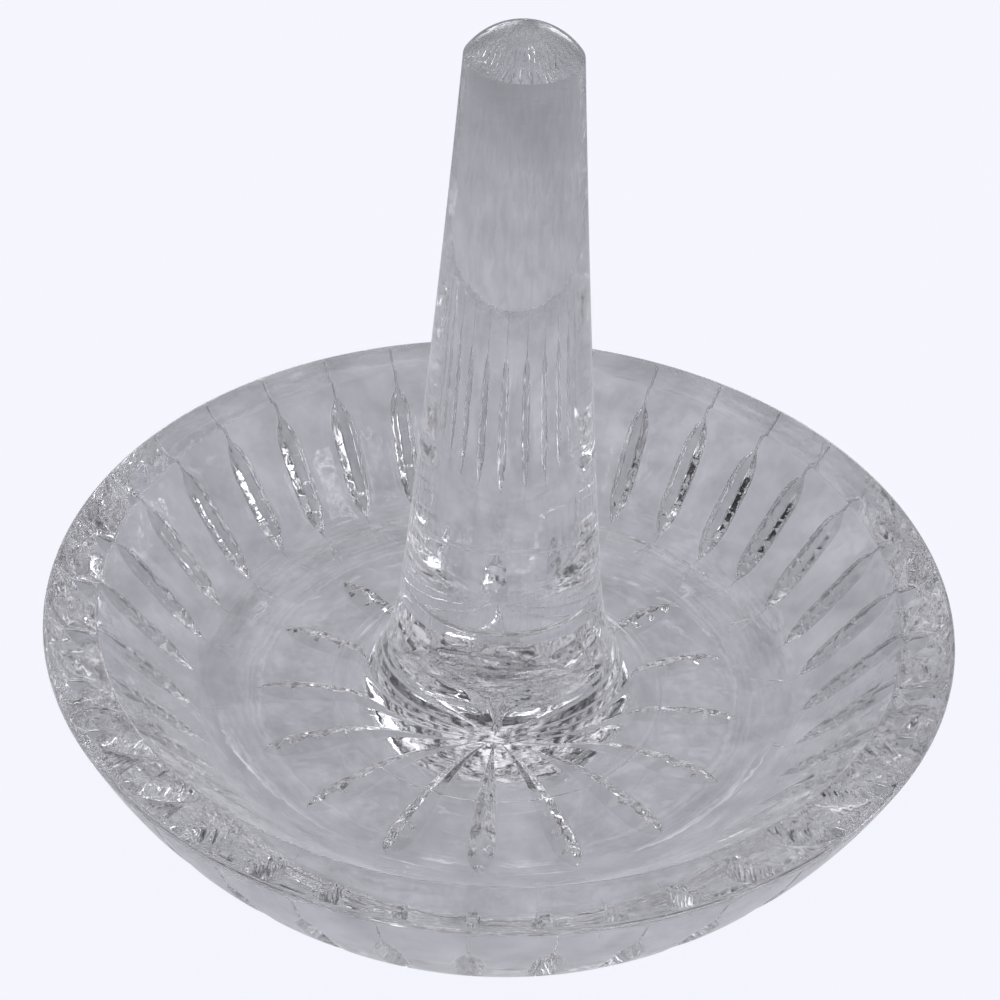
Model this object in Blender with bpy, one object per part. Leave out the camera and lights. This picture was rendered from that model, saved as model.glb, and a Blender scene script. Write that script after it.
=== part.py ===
# Cut glass ring holder.
# A thick round dish with a flared, fluted wall carries a solid tapered post for rings.
# All three glass pieces stand on the Z axis, with the origin under the centre of the base.
# Lengths are in metres.

import math

import bmesh
import bpy
from mathutils import Matrix

# Overall
HOLDER_HEIGHT = 0.0830
SEAT_GAP = 0.0003

# Dish body
DISH_RADIUS = 0.0475
DISH_HEIGHT = 0.0190
RIM_WIDTH = 0.0055
RIM_ROUNDING = 0.0005
FLOOR_THICKNESS = 0.0055
FLOOR_RADIUS = 0.0299
COVE_RADIUS = 0.0110
BASE_RADIUS = 0.0372
BASE_EDGE_HEIGHT = 0.0008
BASE_EDGE_REACH = 0.0012
WALL_BULGE = 0.0009

# Flutes up the outside of the wall, each with steep sides and a narrow flat root
FLUTE_COUNT = 36
FLUTE_DEPTH = 0.0018
FLUTE_WIDTH = 0.0029
FLUTE_SIDE_SHARE = 0.6
FLUTE_TOP_LAND = 0.0052
FLUTE_RUN_OFF = 0.0016
FLUTE_FULLNESS = 4.0

# Star cut into the underside of the base
STAR_RAYS = 16
STAR_RADIUS = 0.0268
STAR_CENTRE_LAND = 0.0009
STAR_DEPTH = 0.0011
STAR_RAY_WIDTH = 0.0052
STAR_TIP_SHARPNESS = 8

# Flared foot of the post
FOOT_RADIUS = 0.0180
FOOT_EDGE = 0.0004
FOOT_HEIGHT = 0.0162

# Tapered post
POST_FOOT_RADIUS = 0.0103
POST_TIP_RADIUS = 0.0054
POST_BOW = 0.0002
DOME_HEIGHT = 0.0028

# How far a cutting tool stands clear of the glass, and the distance that welds seam points
TOOL_OVERRUN = 0.0004
WELD_DISTANCE = 0.000005

# Steps round the axis and along each curve
DISH_STEPS = 144
POST_STEPS = 48
WALL_STEPS = 6
COVE_STEPS = 5
ROUNDING_STEPS = 2
BASE_EDGE_STEPS = 4
FLARE_STEPS = 9
TAPER_STEPS = 6
DOME_STEPS = 5
FLUTE_STATIONS = 9
STAR_STATIONS = 11
SHARP_ANGLE = math.radians(18)

# Heights that follow from the sizes above
FOOT_BOTTOM = FLOOR_THICKNESS + SEAT_GAP
FOOT_TOP = FOOT_BOTTOM + FOOT_HEIGHT
POST_BOTTOM = FOOT_TOP + SEAT_GAP
POST_SHOULDER = HOLDER_HEIGHT - DOME_HEIGHT
POST_LENGTH = POST_SHOULDER - POST_BOTTOM

HALF_TURN = math.pi
FULL_TURN = 2 * math.pi


def shares(steps):
    # Evenly spaced values from 0 to 1.
    return [index / steps for index in range(steps + 1)]


def mix(start, end, share):
    return start + (end - start) * share


def arc(centre, radius, start_angle, end_angle, steps):
    # Points (radius, height) on an arc, angles measured from +X towards +Z.
    points = []
    for share in shares(steps):
        angle = mix(start_angle, end_angle, share)
        points.append((centre[0] + radius * math.cos(angle), centre[1] + radius * math.sin(angle)))
    return points


def outer_wall(share):
    # Point on the outside of the wall, 0 under the rim and 1 above the base,
    # and its outward direction. The wall is a straight flare bowed out by WALL_BULGE.
    top_radius, top_height = DISH_RADIUS, DISH_HEIGHT - RIM_ROUNDING
    foot_radius, foot_height = BASE_RADIUS, BASE_EDGE_HEIGHT
    run_radius, run_height = foot_radius - top_radius, foot_height - top_height
    length = math.hypot(run_radius, run_height)
    out_radius, out_height = -run_height / length, run_radius / length
    bow = 4 * WALL_BULGE * share * (1 - share)
    slope = 4 * WALL_BULGE * (1 - 2 * share)
    point = (mix(top_radius, foot_radius, share) + bow * out_radius,
             mix(top_height, foot_height, share) + bow * out_height)
    along = (run_radius + slope * out_radius, run_height + slope * out_height)
    size = math.hypot(*along)
    return point, (-along[1] / size, along[0] / size)


def wall_length():
    return math.hypot(DISH_RADIUS - BASE_RADIUS, DISH_HEIGHT - RIM_ROUNDING - BASE_EDGE_HEIGHT)


def curve(start, bend, end, steps):
    # Points on a quadratic curve that leaves start towards bend and arrives at end from bend.
    points = []
    for share in shares(steps):
        pair = []
        for axis in range(2):
            first = mix(start[axis], bend[axis], share)
            second = mix(bend[axis], end[axis], share)
            pair.append(mix(first, second, share))
        points.append(tuple(pair))
    return points


def base_edge():
    # A curve from the foot of the wall, at the wall's own slope, to level with the base.
    foot, outward = outer_wall(1)
    bend = (foot[0] + foot[1] * outward[1] / outward[0], 0)
    return curve(foot, bend, (bend[0] - BASE_EDGE_REACH, 0), BASE_EDGE_STEPS)


def dish_profile():
    # From the centre of the floor, up the inside, over the flat rim and down the outside.
    rim_inner = DISH_RADIUS - RIM_WIDTH
    wall_angle = math.atan2(DISH_HEIGHT - FLOOR_THICKNESS, rim_inner - FLOOR_RADIUS)
    cove_reach = COVE_RADIUS * math.tan(wall_angle / 2)
    lip_reach = RIM_ROUNDING * math.tan(wall_angle / 2)
    cove_centre = (FLOOR_RADIUS - cove_reach, FLOOR_THICKNESS + COVE_RADIUS)
    lip_centre = (rim_inner + lip_reach, DISH_HEIGHT - RIM_ROUNDING)
    rim_centre = (DISH_RADIUS - RIM_ROUNDING, DISH_HEIGHT - RIM_ROUNDING)
    points = [(0, FLOOR_THICKNESS)]
    points += arc(cove_centre, COVE_RADIUS, -HALF_TURN / 2, wall_angle - HALF_TURN / 2, COVE_STEPS)
    points += arc(lip_centre, RIM_ROUNDING, wall_angle + HALF_TURN / 2, HALF_TURN / 2, ROUNDING_STEPS)
    points += arc(rim_centre, RIM_ROUNDING, HALF_TURN / 2, 0, ROUNDING_STEPS)
    points += [outer_wall(share)[0] for share in shares(WALL_STEPS)[1:]]
    points += base_edge()[1:]
    points += [(0, 0)]
    return points


def post_radius(share):
    # Radius of the post, 0 at its joint with the foot and 1 at its shoulder.
    return mix(POST_FOOT_RADIUS, POST_TIP_RADIUS, share) - 4 * POST_BOW * share * (1 - share)


def foot_profile():
    # A concave flare that leaves the floor flat and meets the post at the post's own slope.
    joint_slope = (POST_FOOT_RADIUS - POST_TIP_RADIUS + 4 * POST_BOW) / POST_LENGTH
    flare_bottom = FOOT_BOTTOM + FOOT_EDGE
    bend = (POST_FOOT_RADIUS + joint_slope * (FOOT_TOP - flare_bottom), flare_bottom)
    points = [(0, FOOT_TOP)]
    points += curve((POST_FOOT_RADIUS, FOOT_TOP), bend, (FOOT_RADIUS, flare_bottom), FLARE_STEPS)
    points += [(FOOT_RADIUS, FOOT_BOTTOM), (0, FOOT_BOTTOM)]
    return points


def post_profile():
    # A spherical cap, then the taper down to the flat joint face.
    ball_radius = (POST_TIP_RADIUS ** 2 + DOME_HEIGHT ** 2) / (2 * DOME_HEIGHT)
    cap_angle = math.asin(POST_TIP_RADIUS / ball_radius)
    ball_centre = (0, HOLDER_HEIGHT - ball_radius)
    points = arc(ball_centre, ball_radius, HALF_TURN / 2, HALF_TURN / 2 - cap_angle, DOME_STEPS)
    points[0] = (0, HOLDER_HEIGHT)
    for share in shares(TAPER_STEPS)[1:]:
        points.append((post_radius(1 - share), mix(POST_SHOULDER, POST_BOTTOM, share)))
    points.append((0, POST_BOTTOM))
    return points


def turned_mesh(name, profile, steps):
    # A closed body turned about Z from a profile that runs from the top of the axis,
    # down the outer side, to the foot of the axis.
    shape = bmesh.new()
    points = [shape.verts.new((radius, 0, height)) for radius, height in profile]
    lines = [shape.edges.new(pair) for pair in zip(points, points[1:])]
    bmesh.ops.spin(shape, geom=points + lines, cent=(0, 0, 0), axis=(0, 0, 1),
                   angle=FULL_TURN, steps=steps, use_duplicate=False)
    bmesh.ops.remove_doubles(shape, verts=shape.verts, dist=WELD_DISTANCE)
    bmesh.ops.recalc_face_normals(shape, faces=shape.faces)
    mesh = bpy.data.meshes.new(name)
    shape.to_mesh(mesh)
    shape.free()
    return mesh


def section(root, root_half_width, crest, crest_half_width):
    # Corners of a cut across its run. Root and crest are (radius, height); the cut opens from
    # root to crest, and a root without width makes it a V.
    corners = [(crest[0], crest_half_width, crest[1]), (crest[0], -crest_half_width, crest[1])]
    if root_half_width:
        corners += [(root[0], -root_half_width, root[1]), (root[0], root_half_width, root[1])]
    else:
        corners += [(root[0], 0, root[1])]
    return corners


def add_tool(shape, sections, turn):
    # One cut as a closed body through its sections.
    rings = [[shape.verts.new(corner) for corner in corners] for corners in sections]
    made = []
    for ring, following in zip(rings, rings[1:]):
        for corner in range(len(ring)):
            other = (corner + 1) % len(ring)
            made.append(shape.faces.new((ring[corner], ring[other], following[other], following[corner])))
    made.append(shape.faces.new(rings[0]))
    made.append(shape.faces.new(rings[-1][::-1]))
    bmesh.ops.recalc_face_normals(shape, faces=made)
    verts = [vert for ring in rings for vert in ring]
    bmesh.ops.rotate(shape, verts=verts, cent=(0, 0, 0), matrix=Matrix.Rotation(turn, 3, "Z"))


def flute_sections():
    # Each flute follows the wall. It starts below the rim, is deepest in the middle and runs off
    # the foot of the wall, so that it ends on the edge of the base.
    root_spread = FLUTE_WIDTH / 2 * (1 - FLUTE_SIDE_SHARE)
    side_spread = FLUTE_WIDTH / 2 * FLUTE_SIDE_SHARE / FLUTE_DEPTH
    first = FLUTE_TOP_LAND / wall_length()
    last = 1 + FLUTE_RUN_OFF / wall_length()
    run_out_share = 0.06
    narrowest_share = 0.05
    sections = []
    for step in shares(FLUTE_STATIONS - 1):
        share = (1 - math.cos(step * HALF_TURN)) / 2
        fill = 1 - abs(2 * share - 1) ** FLUTE_FULLNESS
        depth = FLUTE_DEPTH * (fill - run_out_share * (1 - fill))
        point, outward = outer_wall(mix(first, last, share))
        root = (point[0] - outward[0] * depth, point[1] - outward[1] * depth)
        crest = (point[0] + outward[0] * TOOL_OVERRUN, point[1] + outward[1] * TOOL_OVERRUN)
        root_half_width = root_spread * max(fill, narrowest_share)
        crest_half_width = root_half_width + (depth + TOOL_OVERRUN) * side_spread
        sections.append(section(root, root_half_width, crest, crest_half_width))
    return sections


def star_sections():
    # Each ray widens steadily from the centre and closes to a point at the tip.
    spread = STAR_RAY_WIDTH / 2 / STAR_DEPTH
    power = STAR_TIP_SHARPNESS
    deepest = (1 / (power + 1)) ** (1 / power)
    peak = deepest * (1 - deepest ** power)
    sections = []
    inner_share = STAR_CENTRE_LAND / STAR_RADIUS
    overshoot_share = 0.006
    for step in shares(STAR_STATIONS - 1):
        share = mix(inner_share, 1 + overshoot_share, math.sin(step * HALF_TURN / 2))
        depth = STAR_DEPTH * share * (1 - share ** power) / peak
        radius = STAR_RADIUS * share
        overrun = TOOL_OVERRUN * share
        sections.append(section((radius, depth), 0, (radius, -overrun), (depth + overrun) * spread))
    return sections


def tool_object(name, sections, count):
    # The same cut repeated evenly round the axis.
    shape = bmesh.new()
    for index in range(count):
        add_tool(shape, sections, FULL_TURN * index / count)
    mesh = bpy.data.meshes.new(name)
    shape.to_mesh(mesh)
    shape.free()
    tool = bpy.data.objects.new(name, mesh)
    bpy.context.scene.collection.objects.link(tool)
    tool.display_type = "WIRE"
    tool.hide_render = True
    return tool


def glass(name, color, roughness):
    material = bpy.data.materials.new(name)
    material.use_nodes = True
    shader = material.node_tree.nodes["Principled BSDF"]
    shader.inputs["Base Color"].default_value = (*color, 1)
    shader.inputs["Roughness"].default_value = roughness
    shader.inputs["Metallic"].default_value = 0
    shader.inputs["IOR"].default_value = 1.54
    shader.inputs["Transmission Weight"].default_value = 1
    return material


def piece(name, mesh, material, holder):
    item = bpy.data.objects.new(name, mesh)
    bpy.context.scene.collection.objects.link(item)
    item.parent = holder
    mesh.materials.append(material)
    return item


def cut(item, tools):
    # Cuts the tools out of the piece, keeps the result as its mesh and removes the tools.
    for tool in tools:
        boolean = item.modifiers.new(tool.name, "BOOLEAN")
        boolean.operation = "DIFFERENCE"
        boolean.solver = "EXACT"
        boolean.object = tool
    graph = bpy.context.evaluated_depsgraph_get()
    result = bpy.data.meshes.new_from_object(item.evaluated_get(graph), depsgraph=graph)
    item.modifiers.clear()
    blank = item.data
    item.data = result
    bpy.data.meshes.remove(blank)
    result.name = item.name
    for tool in tools:
        bpy.data.objects.remove(tool)


def smooth(item):
    item.data.shade_smooth()
    item.data.set_sharp_from_angle(angle=SHARP_ANGLE)


def build():
    for item in list(bpy.data.objects):
        bpy.data.objects.remove(item)
    holder = bpy.data.objects.new("ring_holder", None)
    bpy.context.scene.collection.objects.link(holder)

    dish_glass = glass("dish_glass", (0.86, 0.87, 0.90), 0.02)
    dish = piece("dish", turned_mesh("dish", dish_profile(), DISH_STEPS), dish_glass, holder)
    flutes = tool_object("flute_tool", flute_sections(), FLUTE_COUNT)
    star = tool_object("star_tool", star_sections(), STAR_RAYS)
    cut(dish, [flutes, star])

    foot_glass = glass("foot_glass", (0.85, 0.86, 0.89), 0.02)
    foot = piece("post_foot", turned_mesh("post_foot", foot_profile(), POST_STEPS), foot_glass, holder)

    post_glass = glass("post_glass", (0.84, 0.85, 0.88), 0.015)
    post = piece("ring_post", turned_mesh("ring_post", post_profile(), POST_STEPS), post_glass, holder)

    for item in (dish, foot, post):
        smooth(item)


build()
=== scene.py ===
import math

import bpy
import numpy as np
from mathutils import Matrix, Vector


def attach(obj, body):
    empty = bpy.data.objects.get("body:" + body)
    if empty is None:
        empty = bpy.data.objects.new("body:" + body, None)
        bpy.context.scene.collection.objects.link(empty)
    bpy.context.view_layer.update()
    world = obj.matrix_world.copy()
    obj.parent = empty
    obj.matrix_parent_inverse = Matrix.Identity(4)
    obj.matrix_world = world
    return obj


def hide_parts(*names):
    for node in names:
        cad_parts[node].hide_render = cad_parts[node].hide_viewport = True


# Cut crystal ring holder: a thick dish with 36 mitre flutes round its wall, a 16 ray star
# under its base, and a tapered post on a flared foot. Metres, +Z up, origin under the base.

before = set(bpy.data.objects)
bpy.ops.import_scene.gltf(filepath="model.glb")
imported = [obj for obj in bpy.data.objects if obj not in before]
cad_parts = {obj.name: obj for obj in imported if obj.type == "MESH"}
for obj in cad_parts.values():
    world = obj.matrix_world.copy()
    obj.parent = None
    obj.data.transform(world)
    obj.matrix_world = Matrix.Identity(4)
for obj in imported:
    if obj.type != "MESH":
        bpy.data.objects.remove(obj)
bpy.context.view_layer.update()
print("frame loaded:", sorted(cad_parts))


# shapes

def smoothMax(values, softness):
    # 0.5 * (v + sqrt(v^2 + softness^2)): v where it is positive, 0 where negative, a soft turn between
    return 0.5 * (values + np.sqrt(values ** 2 + softness ** 2))


def arcPoints(centre, radius, startAngle, endAngle, steps):
    # (r, z) points: centre + radius * (cos a, sin a), a running evenly from start to end
    angles = np.linspace(startAngle, endAngle, steps + 1)
    return np.stack([centre[0] + radius * np.cos(angles), centre[1] + radius * np.sin(angles)], axis=1)


def curvePoints(start, bend, end, steps):
    # (r, z) points: (1 - u)^2 start + 2 u (1 - u) bend + u^2 end, u running evenly from 0 to 1
    u = np.linspace(0, 1, steps + 1)[:, None]
    return (1 - u) ** 2 * start + 2 * u * (1 - u) * bend + u ** 2 * end


def evenAngles(count):
    # count angles evenly round a full turn, from 0
    return np.arange(count) * 2 * np.pi / count


def turned(profile, angles):
    # x = r cos a, y = r sin a, z, for every (r, z) of the profile; angles is one row for all, or one for each
    angles = np.broadcast_to(angles, (len(profile), angles.shape[-1]))
    radius = profile[:, 0][:, None]
    height = np.broadcast_to(profile[:, 1][:, None], angles.shape)
    return np.stack([radius * np.cos(angles), radius * np.sin(angles), height], axis=-1)


def makePiece(name, rings, topHeight, bottomHeight, materials, slotOfRing):
    # rings is (rows, columns, 3), the surface point at each profile step and each angle. Row i joins
    # row i + 1 by quads, the last column joins the first, and a fan to one point on the axis
    # closes each end, at topHeight and at bottomHeight.
    rows, columns = rings.shape[:2]
    points = np.concatenate([rings.reshape(-1, 3), [[0, 0, topHeight], [0, 0, bottomHeight]]])
    here = np.arange(columns)
    after = (here + 1) % columns
    upper = np.arange(rows - 1)[:, None] * columns
    lower = upper + columns
    quads = np.stack([upper + here, lower + here, lower + after, upper + after], axis=-1)
    topFan = np.stack([np.full(columns, rows * columns), here, after], axis=-1)
    last = (rows - 1) * columns
    bottomFan = np.stack([np.full(columns, rows * columns + 1), last + after, last + here], axis=-1)
    faces = topFan.tolist() + quads.reshape(-1, 4).tolist() + bottomFan.tolist()
    slots = np.broadcast_to(np.asarray(slotOfRing).reshape(rows + 1, -1), (rows + 1, columns)).ravel()
    mesh = bpy.data.meshes.new(name)
    mesh.from_pydata(points.tolist(), [], faces)
    for material in materials:
        mesh.materials.append(material)
    mesh.polygons.foreach_set("material_index", slots.astype(np.int32))
    mesh.shade_smooth()
    mesh.update()
    piece = bpy.data.objects.new(name, mesh)
    bpy.context.scene.collection.objects.link(piece)
    return piece


# materials

def newMaterial(name):
    material = bpy.data.materials.new(name)
    material.use_nodes = True
    material.node_tree.nodes.clear()
    return material


def addNode(tree, kind, inputs=(), **values):
    # one node: values are its own settings, and each input takes another node's output as a link, or
    # else a plain value
    node = tree.nodes.new(kind)
    for key, value in values.items():
        setattr(node, key, value)
    for key, source in dict(inputs).items():
        if isinstance(source, bpy.types.NodeSocket):
            tree.links.new(source, node.inputs[key])
        else:
            node.inputs[key].default_value = source
    return node


def addMath(tree, operation, *sources):
    return addNode(tree, "ShaderNodeMath", enumerate(sources), operation=operation).outputs[0]


def addVector(tree, operation, *sources):
    return addNode(tree, "ShaderNodeVectorMath", enumerate(sources), operation=operation).outputs[0]


def addNoise(tree, place, scale, detail, distortion=0.0):
    return addNode(tree, "ShaderNodeTexNoise", {
        "Vector": place, "Scale": scale, "Detail": detail, "Distortion": distortion})


def addRange(tree, value, old, new, way="LINEAR"):
    # moves a value from the range old to the range new, and holds it there
    return addNode(tree, "ShaderNodeMapRange", {
        "Value": value, "From Min": old[0], "From Max": old[1], "To Min": new[0], "To Max": new[1],
    }, interpolation_type=way).outputs["Result"]


def addMix(tree, share, first, second):
    # the colour between first and second; the two colours are this node's sockets 6 and 7
    return addNode(tree, "ShaderNodeMix", {0: share, 6: first, 7: second}, data_type="RGBA").outputs[2]


def addBump(tree, height, depth, normal=None):
    inputs = {"Height": height, "Strength": 1.0, "Distance": depth}
    if normal is not None:
        inputs["Normal"] = normal
    return addNode(tree, "ShaderNodeBump", inputs).outputs["Normal"]


def makeCrystal(name, look):
    material = newMaterial(name)
    tree = material.node_tree
    place = addNode(tree, "ShaderNodeTexCoord").outputs["Object"]
    # broad ripples from the polish, and a finer orange peel over them
    ripple = addNoise(tree, place, look["rippleScale"], look["rippleDetail"]).outputs["Fac"]
    peel = addNoise(tree, place, look["peelScale"], look["peelDetail"]).outputs["Fac"]
    normal = addBump(tree, ripple, look["rippleDepth"])
    normal = addBump(tree, peel, look["peelDepth"], normal)
    if "lineScale" in look:
        # grinding lines along each cut, from its own attribute: metres across and along, the cut's number
        cut = addNode(tree, "ShaderNodeAttribute", attribute_name="cutPlace").outputs["Vector"]
        stretched = addVector(tree, "MULTIPLY", cut, look["lineScale"])
        lines = addNoise(tree, stretched, 1.0, look["lineDetail"]).outputs["Fac"]
        normal = addBump(tree, lines, look["lineDepth"], normal)
    # polished patches and slightly hazy ones
    roughness = addRange(tree, peel, look["hazeRange"], (look["polish"], look["haze"]))
    # painted light and shade: clouds in the painted grey, a few millimetres to a centimetre across, in place
    # of the light that the wavy polish throws about: colour * (1 - share .. 1 + share)
    paintedLightShade = addNoise(tree, place, look["paintedLightShadeScale"], look["paintedLightShadeDetail"]).outputs["Fac"]
    darkest = (*[value * (1 - look["paintedLightShade"]) for value in look["paintedShadeColour"]], 1)
    lightest = (*[value * (1 + look["paintedLightShade"]) for value in look["paintedShadeColour"]], 1)
    face = addMix(tree, paintedLightShade, darkest, lightest)
    # painted shade: a grey laid on where the eye's ray enters, in place of the shaded floor and room that
    # clear glass shows; the glass behind that takes the inner colour, nearly clear on the plain glass
    ray = addNode(tree, "ShaderNodeLightPath")
    tint = addMix(tree, ray.outputs["Is Camera Ray"], (*look["innerColour"], 1), face)
    shader = addNode(tree, "ShaderNodeBsdfPrincipled", {
        "Base Color": tint, "Roughness": roughness, "Normal": normal,
        "Transmission Weight": 1.0, "IOR": look["ior"]})
    addNode(tree, "ShaderNodeOutputMaterial", {"Surface": shader.outputs["BSDF"]})
    return material


def makeFusedJoint(name):
    # where two pieces were melted together there is no surface left to see
    material = newMaterial(name)
    clear = addNode(material.node_tree, "ShaderNodeBsdfTransparent")
    addNode(material.node_tree, "ShaderNodeOutputMaterial", {"Surface": clear.outputs["BSDF"]})
    return material


crystalLook = {
    "ior": 1.53,
    "innerColour": (0.97, 0.972, 0.98),
    # painted shade: the grey laid on where the eye's ray enters
    "paintedShadeColour": (0.545, 0.54, 0.558),
    "rippleScale": 210.0,
    "rippleDetail": 2.0,
    "rippleDepth": 0.00008,
    "peelScale": 700.0,
    "peelDetail": 3.0,
    "peelDepth": 0.000006,
    # where the peel's noise passes from polish to haze
    "hazeRange": (0.35, 0.7),
    "polish": 0.0,
    "haze": 0.04,
    # painted light and shade: clouds in the painted grey
    "paintedLightShadeScale": 150.0,
    "paintedLightShadeDetail": 3.0,
    "paintedLightShade": 0.5,
}
# painted shade: the cuts' glass is darker inside, which draws dark strokes through the cuts
facetLook = dict(crystalLook, innerColour=(0.64, 0.642, 0.65), rippleScale=900.0, rippleDepth=0.00003,
                 haze=0.02, lineScale=(3300.0, 300.0, 7.0), lineDetail=2.0, lineDepth=0.000012)
# painted light: the post's grey is a little lighter than the dish's
postLook = dict(crystalLook, paintedShadeColour=(0.58, 0.575, 0.595), rippleScale=120.0, rippleDepth=0.00004)

dishCrystal = makeCrystal("dishCrystal", crystalLook)
cutFacets = makeCrystal("cutFacets", facetLook)
# painted shade: the star's cuts are darker inside too, less so
starFacets = makeCrystal("starFacets", dict(facetLook, innerColour=(0.84, 0.842, 0.85)))
footCrystal = makeCrystal("footCrystal", dict(crystalLook, rippleScale=260.0, rippleDepth=0.00005))
postCrystal = makeCrystal("postCrystal", postLook)
# painted shade: the dome's grey is darker than the post's
domeCrystal = makeCrystal("domeCrystal", dict(postLook, paintedShadeColour=(0.40, 0.395, 0.41)))
fusedJoint = makeFusedJoint("fusedJoint")
print("materials made")

# dish
dish = {
    "radius": 0.0475,
    "height": 0.0190,
    "rimWidth": 0.0055,
    "rimRounding": 0.0005,
    "floorHeight": 0.0055,
    "floorRadius": 0.0299,
    "coveRadius": 0.0110,
    "baseRadius": 0.0372,
    "baseEdgeHeight": 0.0008,
    "baseEdgeReach": 0.0012,
    "wallBulge": 0.0009,
    "jointRadius": 0.0180,
    "coveRows": 11,
    "rimRows": 4,
    "innerWallShares": (0.33, 0.67),
    "wallRows": 48,
    "baseEdgeRows": 6,
    "columns": 864,
    "sharpAngle": 28,  # degrees; edges that turn more than this stay sharp
}
flute = {
    "count": 36,
    "width": 0.0029,
    "depth": 0.0018,
    "side": 0.6,
    # along the wall from under the rim: where the thin tail starts, where the body does, and how far
    # past the foot of the wall it runs
    "tailTop": 0.0006,
    "bodyTop": 0.0052,
    "runOff": 0.0004,
    "fullness": 5.0,
    "lowerFullness": 3.0,
    "tail": 0.12,
    "tailSoftness": 0.02,
    "leastFill": 0.02,
    # where the columns stand across half a cut, in half widths
    "across": (0, 0.2, 0.34, 0.43, 0.55, 0.72, 0.90, 1.0, 1.08, 1.25),
    "edgeColumn": 7,
    "edgeSoftness": 0.10,
    "rootSoftness": 0.15,
    "endWander": 0.0004,
    "widthWander": 0.07,
    "leanWander": 0.004,
    "chatter": 0.20,
    "chatterWaves": 7.5,
}
star = {
    "count": 16,
    "radius": 0.0268,
    "centreLand": 0.0009,
    "width": 0.0031,
    "depth": 0.0011,
    "side": 1.0,
    "tipSharpness": 10,
    "swell": 1.4,
    "leastFill": 0.004,
    "rows": 34,
    "across": (0, 0.05, 0.14, 0.28, 0.42, 0.56, 0.70, 0.82, 0.90, 0.96, 1.0, 1.04, 1.1, 1.2, 1.35),
    "edgeColumn": 10,
    "edgeSoftness": 0.08,
    "rootSoftness": 0.08,
    "widthWander": 0.06,
    "leanWander": 0.006,
    "chatter": 0.44,
    "chatterWaves": 9.0,
}
wheel = {
    "seed": 7,
    "startShake": 0.15,
    "paces": (0.6, 1.3),
    "secondPace": 2.3,
    "secondShare": 0.5,
}
hand = np.random.default_rng(wheel["seed"])  # the small differences of hand work, the same every run


def cutShape(across, cut):
    # depth of a cut against t, the distance from its middle in half widths: it falls from the edge as
    # (1 - |t|) / side and is held at 1, so a side of 1 is a V and less is a trough, with soft turns
    falling = smoothMax((1 - np.abs(across)) / cut["side"], cut["edgeSoftness"])
    return 1 - smoothMax(1 - falling, cut["rootSoftness"])


def chatter(along, cut):
    # the wheel's shake, 1 + size * (start + along^2) * (sin(wave) + share * sin(second wave)), which grows
    # along the cut and has its own pace on each one
    starts = hand.uniform(0, 2 * np.pi, (2, cut["count"]))
    turns = 2 * np.pi * cut["chatterWaves"] * hand.uniform(*wheel["paces"], cut["count"]) * along
    second = wheel["secondShare"] * np.sin(wheel["secondPace"] * turns + starts[1])
    shake = np.sin(turns + starts[0]) + second
    return 1 + cut["chatter"] * (wheel["startShake"] + along ** 2) * shake


def sectorColumns(columns, across, halfAngle, lean):
    # Angles of the columns, for halfAngle (rows, count), the half width of each cut in each row. A sector
    # of 2 pi / count has its middle column on the cut, which leans off the even place by lean (count).
    # The next columns stand at across * halfAngle, and the rest share out the land up to the border.
    # Also gives t, the distance from the nearest cut in half widths, and the same, signed, as an angle.
    rows, count = halfAngle.shape
    half = columns // count // 2
    border = np.pi / count
    near = np.asarray(across) * halfAngle[..., None]
    share = np.linspace(0, 1, half - len(across) + 2)[1:]
    sides = []
    for way in (-1, 1):
        last = lean[:, None] + way * near[..., -1:]
        land = last + (way * border - last) * share
        sides.append(np.concatenate([lean[:, None] + way * near, land], axis=-1))
    whole = np.concatenate([sides[0][..., :0:-1], sides[1][..., :-1]], axis=-1)
    aside = whole - lean[:, None]
    distance = np.abs(aside) / halfAngle[..., None]
    angles = (np.arange(count) * 2 * border)[:, None] + whole
    return angles.reshape(rows, -1), distance.reshape(rows, -1), aside.reshape(rows, -1)


def cutPlaces(aside, radius, along, count):
    # (metres across the cut, metres along it, the cut's number) for every point
    number = np.arange(aside.shape[1]) // (aside.shape[1] // count)
    parts = [aside * radius, np.broadcast_to(along, aside.shape), np.broadcast_to(number, aside.shape)]
    return np.stack(parts, axis=-1)


def insideProfile():
    # (r, z) from the foot's joint over the floor, up the coved corner and the wall, and over the rim
    d = dish
    rimInner = d["radius"] - d["rimWidth"]
    wallAngle = math.atan2(d["height"] - d["floorHeight"], rimInner - d["floorRadius"])
    # how far each arc's centre stands back from the corner that the arc rounds
    coveReach = d["coveRadius"] * math.tan(wallAngle / 2)
    lipReach = d["rimRounding"] * math.tan(wallAngle / 2)
    rimHeight = d["height"] - d["rimRounding"]
    coveCentre = (d["floorRadius"] - coveReach, d["floorHeight"] + d["coveRadius"])
    lipCentre = (rimInner + lipReach, rimHeight)
    rimCentre = (d["radius"] - d["rimRounding"], rimHeight)
    quarter = np.pi / 2
    cove = arcPoints(coveCentre, d["coveRadius"], -quarter, wallAngle - quarter, d["coveRows"])
    lip = arcPoints(lipCentre, d["rimRounding"], wallAngle + quarter, quarter, d["rimRows"])
    rim = arcPoints(rimCentre, d["rimRounding"], quarter, 0, d["rimRows"])
    innerWall = cove[-1] + (lip[0] - cove[-1]) * np.array(d["innerWallShares"])[:, None]
    return np.concatenate([[[d["jointRadius"], d["floorHeight"]]], cove, innerWall, lip, rim])


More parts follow.
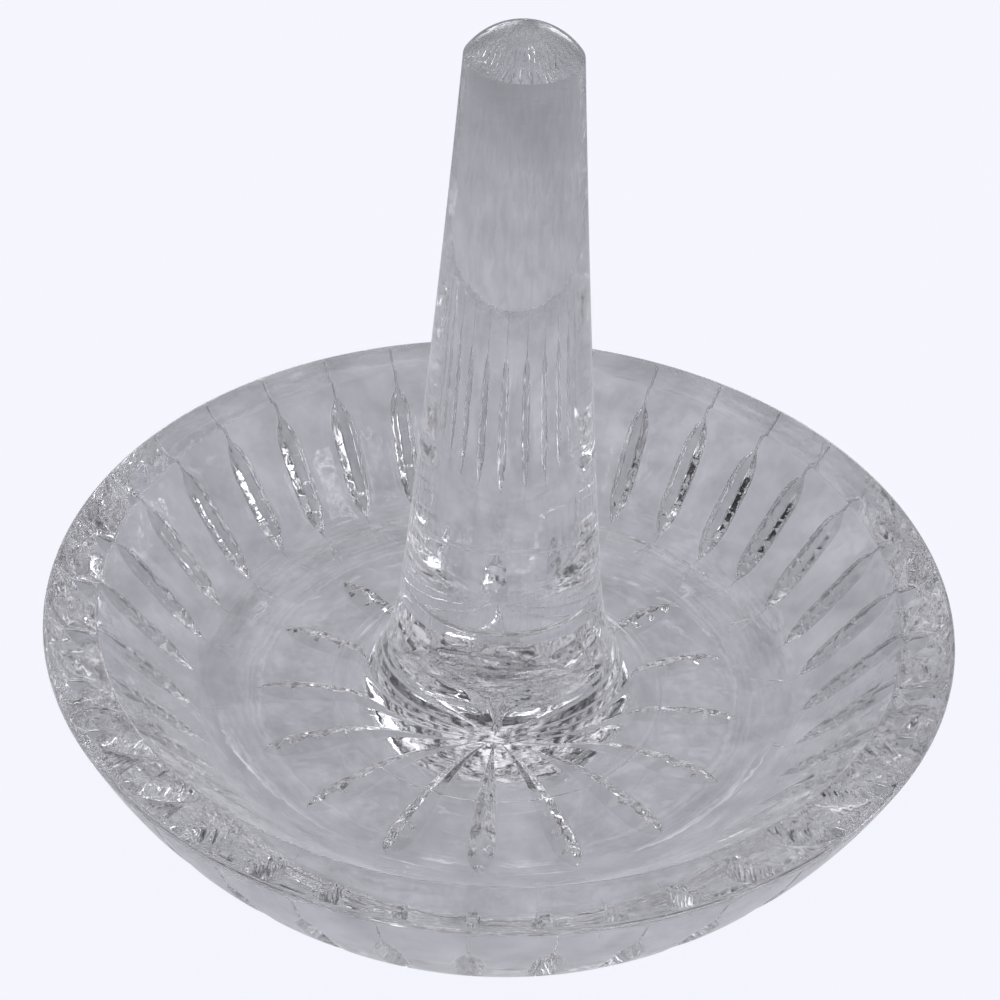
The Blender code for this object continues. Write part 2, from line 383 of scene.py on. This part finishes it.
def outsideProfile():
    # (r, z) down the outer wall, a straight flare bowed out by 4 * bulge * s * (1 - s), and round the base
    # edge, a curve from the wall's own slope to level. Also gives the way along the wall down to each
    # point, the outward normals and the wall's length.
    d = dish
    top = np.array([d["radius"], d["height"] - d["rimRounding"]])
    bottom = np.array([d["baseRadius"], d["baseEdgeHeight"]])
    run = bottom - top
    length = np.hypot(*run)
    out = np.array([-run[1], run[0]]) / length
    s = np.linspace(0, 1, d["wallRows"] + 1)[1:]
    wall = top + run * s[:, None] + (4 * d["wallBulge"] * s * (1 - s))[:, None] * out
    slope = run - 4 * d["wallBulge"] * out
    bend = bottom + slope * (bottom[1] / -slope[1])
    end = np.array([bend[0] - d["baseEdgeReach"], 0])
    edge = curvePoints(bottom, bend, end, d["baseEdgeRows"])[1:]
    edgeWay = length + (bottom[1] - edge[:, 1]) * length / (top[1] - bottom[1])
    profile = np.concatenate([wall, edge])
    slope = np.gradient(profile, axis=0)
    normal = np.stack([-slope[:, 1], slope[:, 0]], axis=1) / np.hypot(slope[:, 0], slope[:, 1])[:, None]
    normal[-1] = 0, -1
    return profile, np.concatenate([s * length, edgeWay])[:, None], normal, length


def fluteRings(profile, below, normal, length):
    # The outer wall with its flutes. Half width and depth both follow fill = 1 - |2 t - 1| ^ fullness along
    # the body, which is blunt above and more pointed below, with a thin tail over it, and the depth has
    # the wheel's shake too. No two flutes are quite the same.
    count = flute["count"]
    columns = dish["columns"]
    first = flute["bodyTop"] + flute["endWander"] * hand.uniform(-1, 1, count)
    last = length + flute["runOff"] + flute["endWander"] * hand.uniform(-1, 1, count)
    along = np.clip((below - first) / (last - first), 0, 1)
    isUpper = along < 0.5
    leaf = 1 - np.abs(2 * along - 1) ** np.where(isUpper, flute["fullness"], flute["lowerFullness"])
    tail = flute["tail"] * np.clip((below - flute["tailTop"]) / flute["tailTop"], 0, 1) * isUpper
    fill = smoothMax(leaf - tail, flute["tailSoftness"]) + tail
    fill = fill * (1 + flute["widthWander"] * hand.uniform(-1, 1, count))
    fill = np.maximum(fill, flute["leastFill"])
    shaken = fill * chatter(along, flute) * (below > flute["tailTop"])
    lean = flute["leanWander"] * hand.uniform(-1, 1, count)
    halfAngle = flute["width"] / 2 * fill / profile[:, :1]
    angles, distance, aside = sectorColumns(columns, flute["across"], halfAngle, lean)
    depth = flute["depth"] * np.repeat(shaken, columns // count, axis=1) * cutShape(distance, flute)
    depth[-1] = 0
    rings = turned(profile, angles) - turned(normal, angles) * depth[..., None]
    rings[..., 2] = np.maximum(rings[..., 2], 0)
    return rings, cutPlaces(aside, profile[:, :1], below, count)


def starRings():
    # The flat underside with its star, from the outside in. Half width and depth both follow
    # fill = t^swell (1 - t^sharpness) from the centre to the tip, over its highest value, and the depth
    # has the wheel's shake too.
    count = star["count"]
    columns = dish["columns"]
    power = star["tipSharpness"]
    swell = star["swell"]
    fullest = (swell / (power + swell)) ** (1 / power)
    peak = fullest ** swell * (1 - fullest ** power)
    inner = star["centreLand"] / star["radius"]
    t = inner + (1 - inner) * np.sin(np.linspace(0, 1, star["rows"]) * np.pi / 2)
    t = t[::-1, None]
    fill = np.maximum(t ** swell * (1 - t ** power) / peak, star["leastFill"])
    fill = fill * (1 + star["widthWander"] * hand.uniform(-1, 1, count))
    shaken = fill * chatter(t, star)
    radius = star["radius"] * t
    lean = star["leanWander"] * hand.uniform(-1, 1, count)
    halfAngle = star["width"] / 2 * fill / radius
    angles, distance, aside = sectorColumns(columns, star["across"], halfAngle, lean)
    depth = star["depth"] * np.repeat(shaken, columns // count, axis=1) * cutShape(distance, star)
    depth[[0, -1]] = 0
    rings = turned(np.concatenate([radius, np.zeros_like(radius)], axis=1), angles)
    rings[..., 2] += np.maximum(depth, 0)
    return rings, cutPlaces(aside, radius, radius, count)


def cutFaces(cut):
    # marks the faces round the dish that lie within edgeColumn columns of a cut's middle
    columns = dish["columns"] // cut["count"]
    face = np.arange(columns) - columns // 2
    return np.tile((face >= -cut["edgeColumn"]) & (face < cut["edgeColumn"]), cut["count"])


def dishRings():
    # the dish's rings from the foot's joint over the rim to the middle of the base, the material slot
    # of each face, and each point's place on its cut
    columns = dish["columns"]
    inside = insideProfile()
    outerRings, outerPlaces = fluteRings(*outsideProfile())
    baseRings, basePlaces = starRings()
    # each row starts half a sector before its first cut, so the star's rows are rolled round to the
    # flutes' start, and the plain rows start there too
    halfFlute, halfRay = (columns // cut["count"] // 2 for cut in (flute, star))
    shift = halfFlute - halfRay
    innerRings = turned(inside, evenAngles(columns) - halfFlute * 2 * np.pi / columns)
    rings = np.concatenate([innerRings, outerRings, np.roll(baseRings, shift, axis=1)])
    places = np.concatenate([np.zeros_like(innerRings), outerPlaces, np.roll(basePlaces, shift, axis=1)])

    # slots: 1 for the joint inside the first ring, 2 for the flutes' facets, 3 for the star's, 0 for the rest
    slots = np.zeros((len(rings) + 1, columns), np.int32)
    baseStart = len(inside) + len(outerRings)
    slots[0] = 1
    slots[len(inside) + 1:baseStart] = cutFaces(flute) * 2
    slots[baseStart + 1:baseStart + len(baseRings)] = np.roll(cutFaces(star), shift) * 3
    return rings, slots, places


rings, slots, places = dishRings()
dishPiece = makePiece("crystal_dish", rings, dish["floorHeight"], 0.0,
                      [dishCrystal, fusedJoint, cutFacets, starFacets], slots)
cutPlace = dishPiece.data.attributes.new("cutPlace", "FLOAT_VECTOR", "POINT")
endPlaces = np.zeros(6)  # the two points on the axis lie on no cut
cutPlace.data.foreach_set("vector", np.concatenate([places.ravel(), endPlaces]).astype(np.float32))
dishPiece.data.set_sharp_from_angle(angle=math.radians(dish["sharpAngle"]))
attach(dishPiece, "root")
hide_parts("dish")
print("dish:", len(dishPiece.data.polygons), "faces")

# flared foot
foot = {
    "radius": 0.0180,
    "edge": 0.00005,
    "bottom": 0.0055,
    "top": 0.02215,
    "topRadius": 0.0103,
    "jointSlope": 0.098,
    "columns": 288,
    "rows": 40,
}


def footProfile():
    # (r, z) down the flare, a curve from the post's own slope to level with the floor, and its thin edge
    top = np.array([foot["topRadius"], foot["top"]])
    rim = np.array([foot["radius"], foot["bottom"] + foot["edge"]])
    bend = np.array([foot["topRadius"] + foot["jointSlope"] * (foot["top"] - rim[1]), rim[1]])
    return np.concatenate([curvePoints(top, bend, rim, foot["rows"]), [[foot["radius"], foot["bottom"]]]])


flare = turned(footProfile(), evenAngles(foot["columns"]))
footPiece = makePiece("flared_foot", flare, foot["top"], foot["bottom"],
                      [footCrystal, fusedJoint], [1] + [0] * (len(flare) - 1) + [1])
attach(footPiece, "root")
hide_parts("post_foot")
print("foot:", len(footPiece.data.polygons), "faces")

# ring post
post = {
    "bottom": 0.02215,
    "footRadius": 0.0103,
    "tipRadius": 0.0054,
    "bow": 0.0002,
    "domeHeight": 0.0028,
    "height": 0.0830,
    "columns": 288,
    "rows": 40,
    "domeRows": 16,
    "sharpAngle": 28,  # degrees; the dome's edge turns more than this
}


def postProfile():
    # (r, z) down a spherical cap, r^2 + (z - centre)^2 = ball^2, and down the taper, which is drawn in
    # by 4 * bow * s * (1 - s)
    p = post
    shoulder = p["height"] - p["domeHeight"]
    ball = (p["tipRadius"] ** 2 + p["domeHeight"] ** 2) / (2 * p["domeHeight"])
    a = np.linspace(0, math.asin(p["tipRadius"] / ball), p["domeRows"] + 1)[1:]
    dome = np.stack([ball * np.sin(a), p["height"] - ball + ball * np.cos(a)], axis=1)
    s = np.linspace(1, 0, p["rows"] + 1)[1:]
    radius = p["footRadius"] + (p["tipRadius"] - p["footRadius"]) * s - 4 * p["bow"] * s * (1 - s)
    height = p["bottom"] + (shoulder - p["bottom"]) * s
    return np.concatenate([dome, np.stack([radius, height], axis=1)])


taper = turned(postProfile(), evenAngles(post["columns"]))
postPiece = makePiece("tapered_post", taper, post["height"], post["bottom"],
                      [postCrystal, fusedJoint, domeCrystal],
                      [2] * post["domeRows"] + [0] * post["rows"] + [1])
postPiece.data.set_sharp_from_angle(angle=math.radians(post["sharpAngle"]))
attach(postPiece, "root")
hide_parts("ring_post")
print("post:", len(postPiece.data.polygons), "faces")

# studio
studio = {
    "floorRadius": 3.0,
    "floorSides": 96,
    "floorGap": 0.00005,
    "floorColour": (0.99, 1.0, 1.08),
    "backdropColour": (0.905, 0.913, 0.99),
    "mattColour": (0.24, 0.242, 0.256),
    # how much of the floor glows: to the eye, and through the glass near by and far off; the lower glow
    # through the glass lets the dark matt show, a painted shadow under the glass
    "glow": 0.90,
    "through": 0.505,
    # painted shade: the glow through the glass fades between these distances, down to the last share
    "paintedShadeStart": 0.065,
    "paintedShadeEnd": 0.16,
    "paintedShadeFarShare": 0.2,
    # painted caustic light and shade on the floor as the glass shows it
    "paintedCausticScale": 170.0,
    "paintedCausticDetail": 3.0,
    "paintedCausticTwist": 1.0,
    "paintedCausticRange": (0.3, 0.7),
    "paintedCaustic": 0.13,
    "wanderScale": 3.0,
    "wanderDetail": 2.0,
    "wander": 0.25,
    "speckScale": 20.0,
    "speckDetail": 2.0,
    "speckRange": (0.38, 0.62),
    "specks": 0.8,
    # how bright the room is: each row is its elevation in degrees, then its levels at even steps of
    # azimuth, a full turn from -180
    "rings": (
        (8, (0.02, 0.02, 0.02, 0.02, 0.02, 0.02, 2.2, 0.02, 3.4, 2.6, 4.0, 0.02,
             6.0, 0.02, 1.0, 0.02, 0.02, 2.6, 0.02, 2.2, 0.02, 0.3, 0.02, 0.02)),
        (26, (0.05, 0.05, 0.02, 0.02, 0.9, 0.02, 3.0, 0.02, 2.2, 0.05, 2.2, 0.1,
              0.3, 0.1, 0.2, 0.2, 0.1, 0.3, 0.1, 0.3, 0.1, 0.3, 1.0, 0.5)),
        (44, (0.75, 0.7, 0.6, 0.5, 0.4, 0.3, 0.35, 0.4, 0.4, 0.8, 0.4, 0.6)),
        (62, (0.55, 0.55, 0.6, 0.6)),
        (80, (0.48, 0.48, 0.48, 0.48)),
    ),
    "brightest": 6.0,
    "roomColour": (1.0, 0.993, 1.045),
    # one lamp: it casts the soft shadow, and the glass shows the room instead of its rectangle
    "lampPlace": (0.0, 0.1, 1.3),
    "lampAim": (0.0, 0.0, 0.02),
    "lampSize": 0.8,
    "lampWatts": 3.0,
}


def makeFloor():
    # a wide disc just under the base; pale to the eye, matt to the lamp, and dimmer through the glass, a
    # painted shadow
    edge = np.array([[studio["floorRadius"], -studio["floorGap"]]])
    points = turned(edge, evenAngles(studio["floorSides"]))[0]
    mesh = bpy.data.meshes.new("floor")
    mesh.from_pydata(points.tolist(), [], [list(range(studio["floorSides"]))])
    material = newMaterial("paleFloor")
    tree = material.node_tree
    ray = addNode(tree, "ShaderNodeLightPath").outputs
    place = addNode(tree, "ShaderNodeTexCoord").outputs["Object"]
    # painted caustic light and shade: through the glass the floor's glow is uneven, as where a lens gathers
    # light, by 1 - share .. 1 + share
    paintedCaustic = addNoise(tree, place, studio["paintedCausticScale"], studio["paintedCausticDetail"], studio["paintedCausticTwist"])
    low = studio["through"] * (1 - studio["paintedCaustic"])
    high = studio["through"] * (1 + studio["paintedCaustic"])
    uneven = addRange(tree, paintedCaustic.outputs["Fac"], studio["paintedCausticRange"], (low, high))
    # painted shade: further off the glow through the glass fades, which draws the outlines of the cuts
    away = addNode(tree, "ShaderNodeVectorMath", {0: place}, operation="LENGTH").outputs["Value"]
    paintedShadeReach = (studio["paintedShadeStart"], studio["paintedShadeEnd"])
    near = addRange(tree, away, paintedShadeReach, (1.0, studio["paintedShadeFarShare"]), "SMOOTHSTEP")
    # painted shadow: glossy and transmission rays get less glow, so the dark matt shows through the glass
    inGlass = addMath(tree, "MAXIMUM", ray["Is Glossy Ray"], ray["Is Transmission Ray"])
    below = addMath(tree, "MULTIPLY", inGlass, addMath(tree, "MULTIPLY", near, uneven))
    share = addMath(tree, "MULTIPLY_ADD", ray["Is Camera Ray"], studio["glow"], below)
    matt = addNode(tree, "ShaderNodeBsdfDiffuse", {"Color": (*studio["mattColour"], 1)})
    glow = addNode(tree, "ShaderNodeEmission", {"Color": (*studio["floorColour"], 1), "Strength": 1.0})
    both = addNode(tree, "ShaderNodeMixShader", {0: share, 1: matt.outputs[0], 2: glow.outputs[0]})
    addNode(tree, "ShaderNodeOutputMaterial", {"Surface": both.outputs[0]})
    material.cycles.emission_sampling = "NONE"
    mesh.materials.append(material)
    floor = bpy.data.objects.new("floor", mesh)
    bpy.context.scene.collection.objects.link(floor)


def addRing(tree, turn, levels):
    # one ring of the room, as shares of the brightest level
    ring = addNode(tree, "ShaderNodeValToRGB", {"Fac": turn})
    ring.color_ramp.interpolation = "EASE"
    stops = ring.color_ramp.elements
    shares = [level / studio["brightest"] for level in levels]
    stops[0].color = stops[1].color = (*[shares[0]] * 3, 1)
    for index, share in enumerate(shares[1:], 1):
        stops.new(index / len(shares)).color = (*[share] * 3, 1)
    return ring.outputs["Color"]


def makeWorld():
    # a soft room: rings of light round the object
    world = bpy.data.worlds.new("studioLight")
    bpy.context.scene.world = world
    world.use_nodes = True
    tree = world.node_tree
    tree.nodes.clear()
    place = addNode(tree, "ShaderNodeTexCoord").outputs["Generated"]
    # the directions wander a little, so that the light has uneven outlines
    wander = addNoise(tree, place, studio["wanderScale"], studio["wanderDetail"]).outputs["Color"]
    centred = addVector(tree, "SUBTRACT", wander, (0.5, 0.5, 0.5))
    moves = addNode(tree, "ShaderNodeVectorMath", {0: centred, "Scale": studio["wander"]}, operation="SCALE")
    moved = addVector(tree, "ADD", place, moves.outputs[0])
    looked = addVector(tree, "NORMALIZE", moved)
    parts = addNode(tree, "ShaderNodeSeparateXYZ", {"Vector": looked}).outputs
    azimuth = addMath(tree, "ARCTAN2", parts["Y"], parts["X"])
    turn = addRange(tree, azimuth, (-math.pi, math.pi), (0.0, 1.0))
    rise = addMath(tree, "ARCSINE", parts["Z"])
    lower, levels = studio["rings"][0]
    room = addRing(tree, turn, levels)
    for elevation, levels in studio["rings"][1:]:
        between = (math.radians(lower), math.radians(elevation))
        climb = addRange(tree, rise, between, (0.0, 1.0), "SMOOTHSTEP")
        room = addMix(tree, climb, room, addRing(tree, turn, levels))
        lower = elevation
    # small uneven patches over all of it, level * (1 - specks .. 1 + specks)
    speck = addNoise(tree, place, studio["speckScale"], studio["speckDetail"]).outputs["Fac"]
    uneven = addRange(tree, speck, studio["speckRange"], (1 - studio["specks"], 1 + studio["specks"]))
    patched = addNode(tree, "ShaderNodeVectorMath", {0: room, "Scale": uneven}, operation="SCALE")
    tint = [value * studio["brightest"] for value in studio["roomColour"]]
    room = addVector(tree, "MULTIPLY", patched.outputs[0], tint)
    # the camera sees a plain pale backdrop instead
    ray = addNode(tree, "ShaderNodeLightPath")
    colour = addMix(tree, ray.outputs["Is Camera Ray"], room, (*studio["backdropColour"], 1))
    sky = addNode(tree, "ShaderNodeBackground", {"Color": colour, "Strength": 1.0})
    addNode(tree, "ShaderNodeOutputWorld", {"Surface": sky.outputs["Background"]})


def makeLamp():
    data = bpy.data.lights.new("topSoftbox", "AREA")
    data.shape = "RECTANGLE"
    data.size = data.size_y = studio["lampSize"]
    data.energy = studio["lampWatts"]
    lamp = bpy.data.objects.new("topSoftbox", data)
    lamp.location = studio["lampPlace"]
    way = Vector(studio["lampAim"]) - Vector(studio["lampPlace"])
    lamp.rotation_euler = way.to_track_quat("-Z", "Y").to_euler()
    lamp.visible_glossy = False
    lamp.visible_transmission = False
    bpy.context.scene.collection.objects.link(lamp)


makeFloor()
makeWorld()
makeLamp()
print("studio made")

# camera
shot = {
    "aim": (0.0, 0.0, 0.0190),
    "azimuth": -88.0,
    "distance": 0.2375,
    "elevation": 39.9,
    "roll": 2.5,
    "lens": 81.3,
    "sensor": 36.0,
    "shiftX": -0.001,
    "shiftY": 0.0900,
    "clipStart": 0.01,
}


def makeCamera():
    # the aim is the middle of the rim; shift puts it where the photo has it in the frame
    a, e, r = (math.radians(shot[key]) for key in ("azimuth", "elevation", "roll"))
    aim = Vector(shot["aim"])
    back = Vector((math.cos(a) * math.cos(e), math.sin(a) * math.cos(e), math.sin(e)))
    eye = aim + shot["distance"] * back
    forward = (aim - eye).normalized()
    right = Vector((-math.sin(a), math.cos(a), 0))
    up = right.cross(forward)
    rolledRight = right * math.cos(r) + up * math.sin(r)
    rolledUp = up * math.cos(r) - right * math.sin(r)
    data = bpy.data.cameras.new("camera")
    data.lens = shot["lens"]
    data.sensor_width = shot["sensor"]
    data.shift_x, data.shift_y = shot["shiftX"], shot["shiftY"]
    data.clip_start = shot["clipStart"]
    camera = bpy.data.objects.new("camera", data)
    turning = Matrix((rolledRight, rolledUp, -forward)).transposed()
    camera.matrix_world = Matrix.Translation(eye) @ turning.to_4x4()
    bpy.context.scene.collection.objects.link(camera)
    bpy.context.scene.camera = camera


makeCamera()
bpy.context.scene.view_settings.view_transform = "Standard"

# light turns many times inside thick cut glass before it finds its way out
bpy.context.scene.cycles.max_bounces = 32
bpy.context.scene.cycles.glossy_bounces = 24
bpy.context.scene.cycles.transmission_bounces = 32
bpy.context.scene.cycles.transparent_max_bounces = 24
